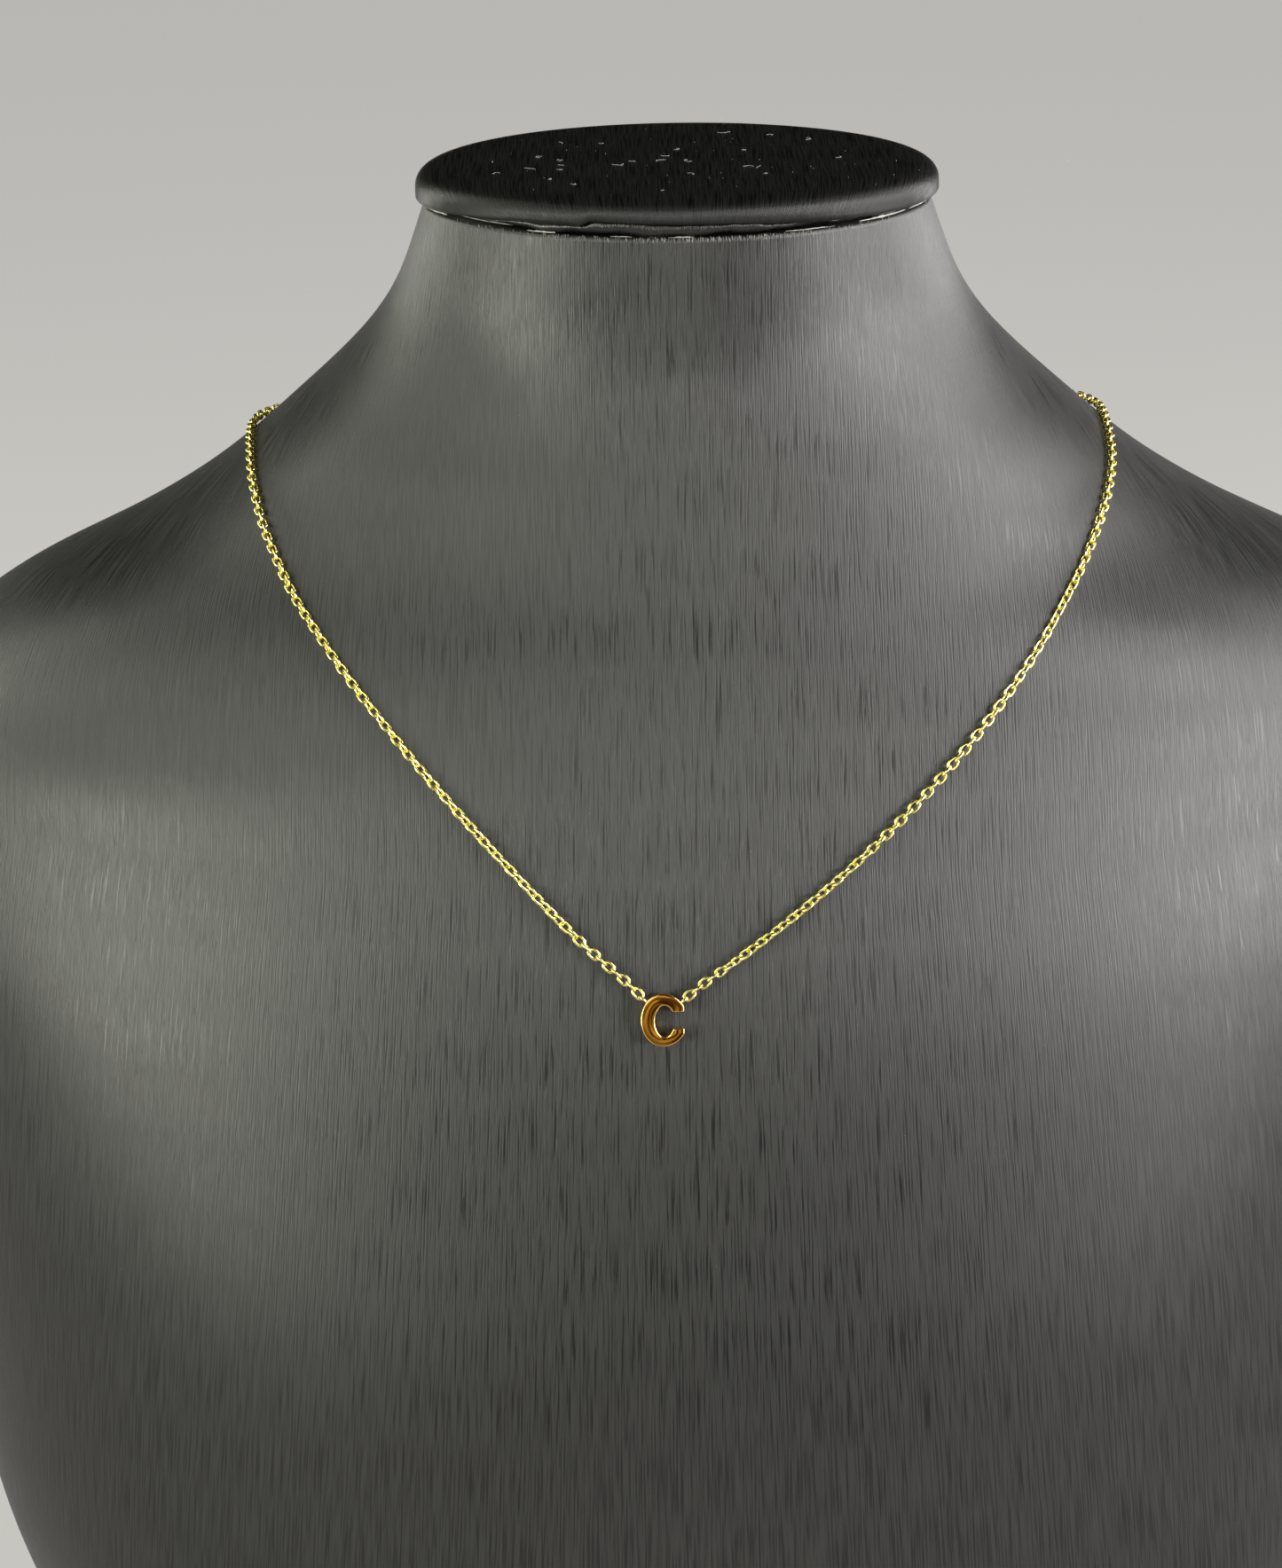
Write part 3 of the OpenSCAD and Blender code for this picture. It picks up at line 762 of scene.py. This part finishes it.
def barrel(levels, spokes):  # plain cylinder of unit radius with a ring of corners at each whole height
    bm = bmesh.new()
    bmesh.ops.create_circle(bm, segments=spokes, radius=1)
    edges = bm.edges[:]
    for _ in range(1, levels):
        verts, edges = extrudeRing(bm, edges)
        bmesh.ops.translate(bm, vec=(0, 0, 1), verts=verts)
    return bm


def capLine(turn, inset, height):  # point in from the cap's side and up from the neck's top edge
    way = Vector((math.sin(math.radians(turn)), -math.cos(math.radians(turn)), 0))
    side = capTree.ray_cast(capMiddle + way * outside, -way)[0]
    point = side - way * inset
    point.z = capLow.z + height
    return point


def shapeRound(bm, profile):
    # Bends a barrel to the cap's outline: profile gives the inset and height of each level in a direction
    for vert in bm.verts:
        turn = math.degrees(math.atan2(vert.co.x, -vert.co.y))
        inset, height = profile(turn)[round(vert.co.z)]
        vert.co = capLine(turn, inset, height)
    bmesh.ops.recalc_face_normals(bm, faces=bm.faces)


def padProfile(turn):
    # Up inside the board's edge, out along the cover's underside, round its lip, and over onto the top
    lift = interpolate(capValues["lift"], turn) * mm
    lip = capValues["lip"]
    top = capHigh.z - capLow.z
    rise = lift + 2.2 * lip
    side = [(3 * mm, 0), (3 * mm, lift + 1.3 * lip), (1 * mm, lift + 0.9 * lip), (lip, lift),
            (0.1 * lip, lift + lip), (0, rise)]
    insetPower, risePower = capValues["fullness"]
    for step in range(1, capValues["roundingSteps"] + 1):
        a = math.radians(90 * step / capValues["roundingSteps"])
        inset = capValues["rounding"] * (1 - math.cos(a)) ** insetPower
        side.append((inset, rise + (top - rise) * math.sin(a) ** risePower))
    return side + [(inset, top) for inset in capValues["topRings"]]


def drawOver(bm):
    # The sheet is drawn down over the board's edge, so its lines run front to back across the top
    layer = bm.loops.layers.uv.new("wrap")
    for face in bm.faces:
        for loop in face.loops:
            outward = (loop.vert.co - capMiddle).xy.normalized() * (capHigh.z - loop.vert.co.z)
            loop[layer].uv = loop.vert.co.xy + outward


def makePad():
    bm = barrel(len(padProfile(0)), capValues["spokes"])
    shapeRound(bm, padProfile)
    bmesh.ops.holes_fill(bm, edges=[e for e in bm.edges if e.is_boundary])
    bmesh.ops.recalc_face_normals(bm, faces=bm.faces)
    drawOver(bm)
    pad = newPiece("neck_cap_pad", bm, capPaintedShadeLeather, "leatherette", "neck_cap")


def foldProfile(turn):
    # Out over the gap, round the fold's lower edge, and up its wrinkled face into the cover's underside
    lift = interpolate(capValues["lift"], turn) * mm
    gap = min(interpolate(capValues["gap"], turn) * mm, lift)
    inset = capValues["foldInset"]
    wrinkle = capValues["foldWrinkle"] * math.sin(turn * 0.7) * math.sin(turn * 0.31 + 1)
    slope = capValues["foldSlope"] * math.sin(turn * 0.23 + 2) ** 2
    return [(2.9 * mm, gap + 0.25 * mm),
            (inset + 0.6 * mm + slope, gap),
            (inset + 0.15 * mm + slope, gap + 0.08 * mm),
            (inset + wrinkle, gap + 0.3 * mm + (lift - gap) * 0.25),
            (inset - wrinkle, gap + (lift - gap) * 0.75),
            (inset + 0.5 * mm, lift + 0.6 * mm)]


def makeFold():
    bm = barrel(len(foldProfile(0)), capValues["spokes"])
    shapeRound(bm, foldProfile)
    drawOver(bm)
    fold = newPiece("tucked_fold", bm, foldPaintedShadeLeather, "leatherette")
    wall = fold.modifiers.new("wall", "SOLIDIFY")
    wall.thickness = capValues["foldWall"]
    wall.offset = -1


def layTube(bm, points, radii, sides):  # a round tube through the points, with its own radius at each
    ring = bmesh.ops.create_circle(bm, segments=sides, radius=1, cap_ends=True)["verts"]
    edges = list({e for v in ring for e in v.link_edges})
    for k, (point, radius) in enumerate(zip(points, radii)):
        if k:  # the new ring goes back to the plain circle before it takes its own place
            ring, edges = extrudeRing(bm, edges)
            bmesh.ops.transform(bm, matrix=place.inverted(), verts=ring)
        ahead = points[min(k + 1, len(points) - 1)] - points[max(k - 1, 0)]
        place = Matrix.LocRotScale(point, ahead.to_track_quat("Z", "Y"), Vector((radius, radius, radius)))
        bmesh.ops.transform(bm, matrix=place, verts=ring)
    bmesh.ops.contextual_create(bm, geom=edges)


def makeGlue():
    random.seed(21)
    bm = bmesh.new()
    for start, end, inset, height, thickness in capValues["glue"]:
        steps = round((end - start) * capValues["beadsPerDegree"])
        points = []
        radii = []
        swell = 0.5
        for k in range(steps + 1):
            swell = 0.6 * swell + 0.4 * random.uniform(0.1, 1.3)  # beads swell and thin out by chance
            lifted = height * mm + capValues["beadLift"] * swell
            points.append(capLine(start + (end - start) * k / steps, inset * mm, lifted))
            taper = math.sin(math.pi * (k + 0.5) / (steps + 1)) ** 0.5
            radii.append(thickness * mm * swell * taper)
        layTube(bm, points, radii, capValues["beadSides"])
    bmesh.ops.recalc_face_normals(bm, faces=bm.faces)
    newPiece("squeezed_glue", bm, glue, "leatherette")


capLow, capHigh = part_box("neck_cap")
capMiddle = (capLow + capHigh) / 2
capMiddle.z = capLow.z + capValues["sideHeight"]
capTree = BVHTree.FromObject(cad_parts["neck_cap"], bpy.context.evaluated_depsgraph_get())
makePad()
makeFold()
makeGlue()
print("cap made")


# Frayed backing and lint

fibreValues = {
    "frayed": 300,           # fibres of the knit backing that stand out of the neck's cut top edge
    "frayedInFront": 0.65,   # the share of them that crowd round the front
    "frayedSpread": 28,      # degrees that those spread to each side
    "frayedLengths": (0.32 * mm, 1.04 * mm),
    "frayedRoots": (0.22 * mm, -0.23 * mm),  # heights over the neck's top edge between which they start
    "frayedRadius": 0.03 * mm,
    "frayedTaper": (1, 1, 0.8, 0.4),  # of the radius, from root to tip
    "frayedLean": 0.16,      # sideways for each length down
    "frayedWave": 0.05,
    "frayedFall": 0.8,       # how much of its length a fibre hangs down
    "frayedInset": 1.43 * mm,
    "frayedBulge": 0.1 * mm,
    "sides": 3,              # of every fibre
    "neckRadius": 40 * mm,   # turns a way sideways into degrees round the neck
    "curls": 30,             # curled lint on the cap
    "curlSpread": (19 * mm, 12 * mm),
    "curlRadius": 0.032 * mm,
    "curlStep": 0.28 * mm,
    "curlSteps": (4, 9),
    "specks": 60,            # dust on the cap
    "speckSpread": (20 * mm, 13 * mm),
    "bodySpecks": 50,        # dust on the body
    "bodySpread": 55,        # degrees to each side of the front
    "bodyHeights": (0.15, 0.98),
    "speckRadius": 0.05 * mm,
}


def makeFrayed(values):
    random.seed(3)
    bm = bmesh.new()
    taper = values["frayedTaper"]
    for _ in range(values["frayed"]):
        inFront = random.random() < values["frayedInFront"]
        turn = random.gauss(0, values["frayedSpread"]) if inFront else random.uniform(-180, 180)
        length = random.uniform(*values["frayedLengths"])
        lean = random.gauss(0, values["frayedLean"])
        root = random.uniform(*values["frayedRoots"])
        points = []
        for k in range(len(taper)):
            t = k / (len(taper) - 1)
            wave = values["frayedWave"] * math.sin(5 * t + lean * 40)
            sideways = math.degrees((lean * t + wave) * length / values["neckRadius"])
            inset = values["frayedInset"] - values["frayedBulge"] * t * (1 - t)
            points.append(capLine(turn + sideways, inset, root - length * t * values["frayedFall"]))
        layTube(bm, points, [values["frayedRadius"] * share for share in taper], values["sides"])
    bmesh.ops.recalc_face_normals(bm, faces=bm.faces)
    newPiece("frayed_backing", bm, whiteFibre, "leatherette")


def scatter(spread, height):  # a chance place on the cap, thickest at its middle
    at = Vector((random.gauss(0, spread[0]), random.gauss(0, spread[1]), 0)) + capMiddle
    at.z = height
    return at


def addSpeck(bm, point, radius):
    grow = Vector((random.uniform(0.6, 1.6), random.uniform(0.6, 1.6), random.uniform(0.6, 1))) * radius
    place = Matrix.LocRotScale(point, None, grow)
    bmesh.ops.create_icosphere(bm, subdivisions=1, radius=1, matrix=place)


def makeLint(values):
    random.seed(8)
    bm = bmesh.new()
    for _ in range(values["curls"]):
        at = scatter(values["curlSpread"], capHigh.z + values["curlRadius"] * 0.8)
        heading = random.uniform(0, 6.3)
        bend = random.gauss(0, 0.63)  # the turn in radians that each step of this curl makes
        points = [at.copy()]
        for _ in range(random.randint(*values["curlSteps"])):
            heading += bend + random.gauss(0, 0.35)
            at += Vector((math.cos(heading), math.sin(heading), 0)) * values["curlStep"]
            points.append(at.copy())
        layTube(bm, points, [values["curlRadius"]] * len(points), values["sides"])
    for _ in range(values["specks"]):
        at = scatter(values["speckSpread"], capHigh.z)
        addSpeck(bm, at, values["speckRadius"] * random.uniform(0.5, 1.4))
    for _ in range(values["bodySpecks"]):
        at = onCover(random.gauss(0, values["bodySpread"]), random.uniform(*values["bodyHeights"]))
        addSpeck(bm, at, values["speckRadius"] * random.uniform(0.4, 1))
    bmesh.ops.recalc_face_normals(bm, faces=bm.faces)
    newPiece("lint", bm, whiteFibre, "leatherette")


makeFrayed(fibreValues)
makeLint(fibreValues)
print("fibres laid")


# Floor, light and camera

stageValues = {
    "floor": "#565450",
    "floorHalf": 4,          # metres from its middle to its edge
    "floorGlow": 0.6,        # paper lit from beyond the picture, so the floor stays pale to its far edge
    "world": "#E4E2DE",
    "worldStrength": 0.012,  # what the world lights with; the camera sees it as pale as the floor
    "leftTint": "#FDFFEE",   # the left side's light is a little greener than the right's
    "rightTint": "#FFFDFA",
    # soft boxes: name, direction round the object, elevation, distance, width, height in metres, watts
    "lights": (("leftLow", -56, 6, 0.9, 0.45, 0.4, 6.4),
               ("leftHigh", -70, 32, 0.9, 0.45, 0.75, 4),
               ("leftFront", -30, 36, 0.9, 0.4, 0.4, 1.8),
               ("leftBack", -126, 3, 0.9, 0.4, 0.35, 2.2),
               ("leftRear", -110, 38, 0.9, 0.5, 0.5, 1.6),
               ("rightLow", 57, 6, 0.9, 0.4, 0.4, 5),
               ("rightMiddle", 56, 18, 0.9, 0.4, 0.5, 4.4),
               ("rightHigh", 76, 32, 0.9, 0.5, 0.7, 12.5),
               ("rightBack", 126, 3, 0.9, 0.4, 0.35, 3),
               ("rightRear", 110, 38, 0.9, 0.5, 0.5, 2),
               ("front", 0, 18, 1.6, 1, 0.6, 1.1)),
    "aim": (0, 0, 0.15),
}


def softBox(name, place, aim, width, height, watts, tint):
    data = bpy.data.lights.new(name, "AREA")
    data.shape = "RECTANGLE"
    data.size = width
    data.size_y = height
    data.energy = watts
    data.color = linear(tint)[:3]
    lamp = bpy.data.objects.new(name, data)
    bpy.context.collection.objects.link(lamp)
    lamp.location = place
    lamp.rotation_mode = "QUATERNION"
    lamp.rotation_quaternion = (place - aim).to_track_quat("Z", "Y")


def makeFloor(values):
    # Matt paper that glows a little: plain and pale, with the soft boxes' light and shade on it
    bm = bmesh.new()
    bmesh.ops.create_grid(bm, x_segments=1, y_segments=1, size=values["floorHalf"])
    mesh = bpy.data.meshes.new("floor")
    bm.to_mesh(mesh)
    bm.free()
    floor = bpy.data.objects.new("floor", mesh)
    bpy.context.collection.objects.link(floor)
    material, tree = newMaterial("pale_paper")
    paper = addNode(tree, "ShaderNodeBsdfPrincipled", {},
                    {"Base Color": linear(values["floor"]), "Roughness": 0.9,
                     "Emission Color": linear(values["world"]), "Emission Strength": values["floorGlow"]})
    addNode(tree, "ShaderNodeOutputMaterial", {}, {}, {"Surface": paper.outputs[0]})
    mesh.materials.append(material)


def makeWorld(values):
    world = bpy.data.worlds.new("studio")
    world.use_nodes = True
    tree = world.node_tree
    tree.nodes.clear()
    rays = addNode(tree, "ShaderNodeLightPath")
    strength = addNode(tree, "ShaderNodeMapRange", {},
                       {"To Min": values["worldStrength"], "To Max": values["floorGlow"]},
                       {"Value": rays.outputs["Is Camera Ray"]})
    background = addNode(tree, "ShaderNodeBackground", {}, {"Color": linear(values["world"])},
                         {"Strength": strength.outputs[0]})
    addNode(tree, "ShaderNodeOutputWorld", {}, {}, {"Surface": background.outputs[0]})
    bpy.context.scene.world = world


def makeLights(values):
    aim = Vector(values["aim"])
    for name, turn, rise, distance, width, height, watts in values["lights"]:
        a = math.radians(turn)
        e = math.radians(rise)
        way = Vector((math.sin(a) * math.cos(e), -math.cos(a) * math.cos(e), math.sin(e)))
        tint = values["leftTint"] if turn < 0 else values["rightTint"]
        softBox(name, aim + way * distance, aim, width, height, watts, tint)


cameraValues = {
    "place": (-7.1 * mm, -665.2 * mm, 391.5 * mm),
    "down": 20,              # degrees below level
    "roll": 0.8,             # degrees by which the picture turns anticlockwise
    "lens": 100,
    "sensor": 36,
}


def makeCamera(values):
    down = math.radians(values["down"])
    roll = math.radians(values["roll"])
    ahead = Vector((0, math.cos(down), -math.sin(down)))
    level = Vector((0, math.sin(down), math.cos(down)))
    right = math.cos(roll) * Vector((1, 0, 0)) - math.sin(roll) * level
    up = math.sin(roll) * Vector((1, 0, 0)) + math.cos(roll) * level
    data = bpy.data.cameras.new("camera")
    data.lens = values["lens"]
    data.sensor_width = values["sensor"]
    camera = bpy.data.objects.new("camera", data)
    bpy.context.collection.objects.link(camera)
    camera.matrix_world = axes(right, up, -ahead, Vector(values["place"]))
    bpy.context.scene.camera = camera


makeFloor(stageValues)
makeWorld(stageValues)
makeLights(stageValues)
makeCamera(cameraValues)
bpy.context.scene.view_settings.view_transform = "Standard"
print("stage set")
